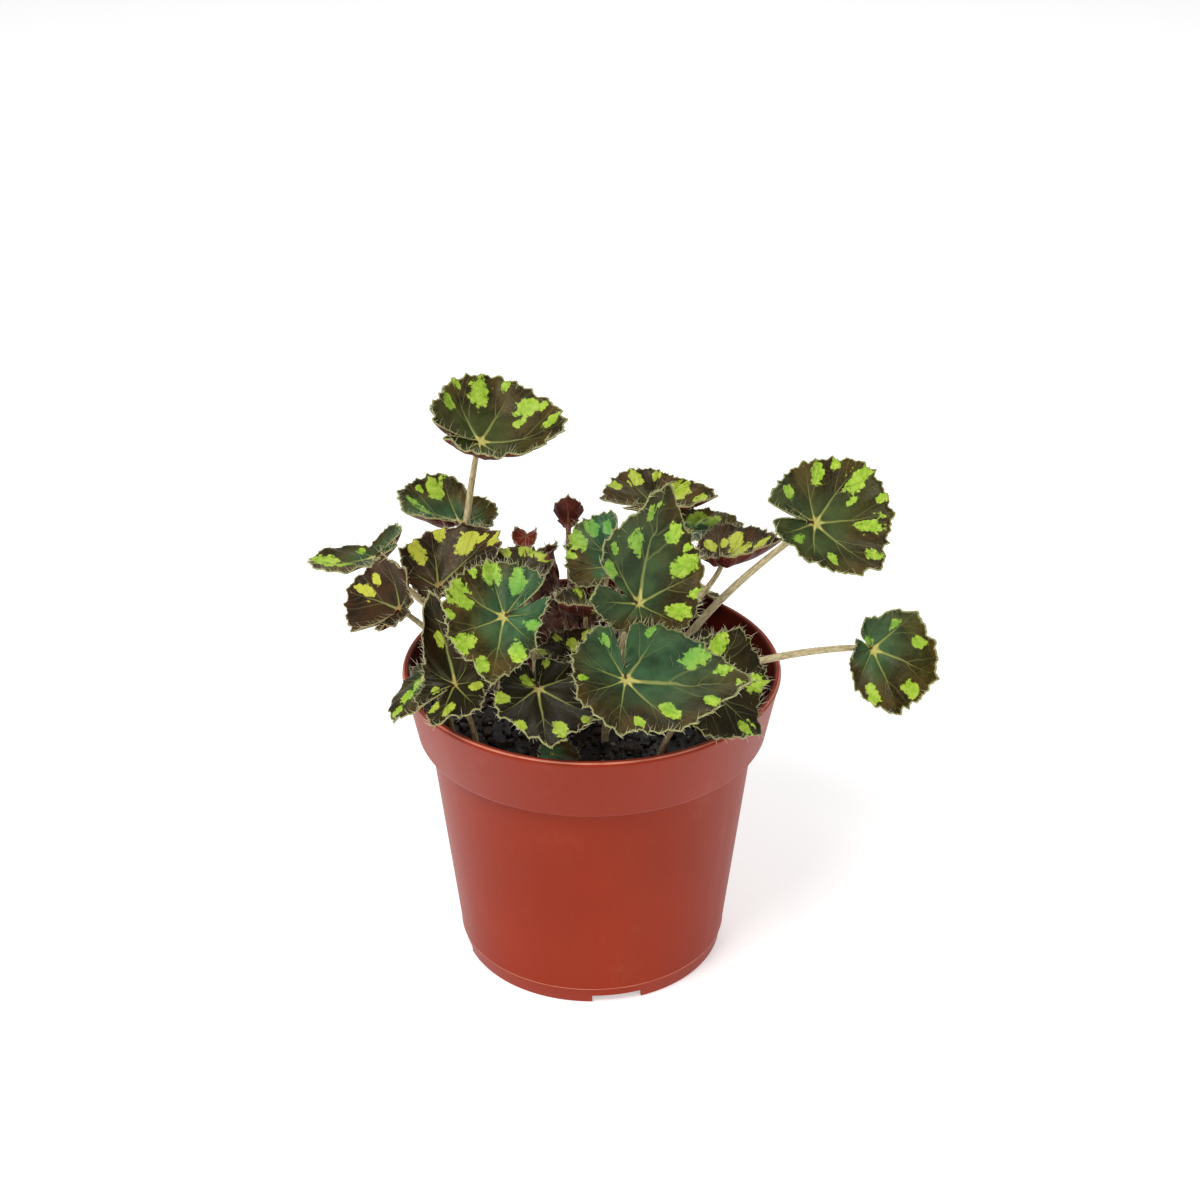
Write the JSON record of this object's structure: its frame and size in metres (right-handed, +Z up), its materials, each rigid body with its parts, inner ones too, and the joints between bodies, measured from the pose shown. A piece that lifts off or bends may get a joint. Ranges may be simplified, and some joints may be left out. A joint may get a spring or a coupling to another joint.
{
  "type": "potted begonia",
  "caption": "Small bushy house plant with spotted, hair-edged round leaves on pale stalks, growing from a creeping stem in a tapered terracotta-red plastic pot.",
  "frame": {"origin": "centre of the pot's underside, on the surface it stands on", "axes": "+Z up along the pot's axis; -Y towards the plant's front, as seen in the reference view; +X to its right"},
  "size_m": [0.1956, 0.1288, 0.186],
  "materials": {
    "pot_plastic": "satin injection-moulded terracotta-red plastic",
    "potting_mix": "near-black peat potting mix with grey and white bits",
    "rhizome_bark": "brown hairy stem skin with papery scales",
    "leaf_blade": "satin bronze-green blade with yellow-green spots and veins, maroon below",
    "leaf_stalk": "pale tan hairy stalk with red-brown flecks",
    "young_leaf": "dark red velvety young blade",
    "young_stalk": "reddish hairy young stalk"
  },
  "bodies": {
    "root": {"pot": "pot_plastic", "soil": "potting_mix", "rhizome": "rhizome_bark", "leaf_top": "leaf_blade", "stalk_top": "leaf_stalk", "leaf_back_left": "leaf_blade", "stalk_back_left": "leaf_stalk", "leaf_far_left": "leaf_blade", "stalk_far_left": "leaf_stalk", "leaf_low_left": "leaf_blade", "stalk_low_left": "leaf_stalk", "leaf_left_dark": "leaf_blade", "stalk_left_dark": "leaf_stalk", "leaf_front_round": "leaf_blade", "stalk_front_round": "leaf_stalk", "leaf_front_left": "leaf_blade", "stalk_front_left": "leaf_stalk", "leaf_rim_left": "leaf_blade", "stalk_rim_left": "leaf_stalk", "leaf_front_low": "leaf_blade", "stalk_front_low": "leaf_stalk", "leaf_inner_brown": "leaf_blade", "stalk_inner_brown": "leaf_stalk", "leaf_front_big": "leaf_blade", "stalk_front_big": "leaf_stalk", "leaf_front_right": "leaf_blade", "stalk_front_right": "leaf_stalk", "leaf_tall": "leaf_blade", "stalk_tall": "leaf_stalk", "leaf_teal": "leaf_blade", "stalk_teal": "leaf_stalk", "leaf_back_cup": "leaf_blade", "stalk_back_cup": "leaf_stalk", "leaf_back_stripe": "leaf_blade", "stalk_back_stripe": "leaf_stalk", "leaf_back_right": "leaf_blade", "stalk_back_right": "leaf_stalk", "leaf_right_high": "leaf_blade", "stalk_right_high": "leaf_stalk", "leaf_right_far": "leaf_blade", "stalk_right_far": "leaf_stalk", "leaf_inner_right": "leaf_blade", "stalk_inner_right": "leaf_stalk", "leaf_inner_edge": "leaf_blade", "stalk_inner_edge": "leaf_stalk", "leaf_inner_spot": "leaf_blade", "stalk_inner_spot": "leaf_stalk", "leaf_seedling": "leaf_blade", "stalk_seedling": "leaf_stalk", "leaf_rear_left": "leaf_blade", "stalk_rear_left": "leaf_stalk", "leaf_rear_middle": "leaf_blade", "stalk_rear_middle": "leaf_stalk", "leaf_rear_right": "leaf_blade", "stalk_rear_right": "leaf_stalk", "leaf_young_left": "young_leaf", "stalk_young_left": "young_stalk", "leaf_young_middle": "young_leaf", "stalk_young_middle": "young_stalk"}
  },
  "joints": []
}
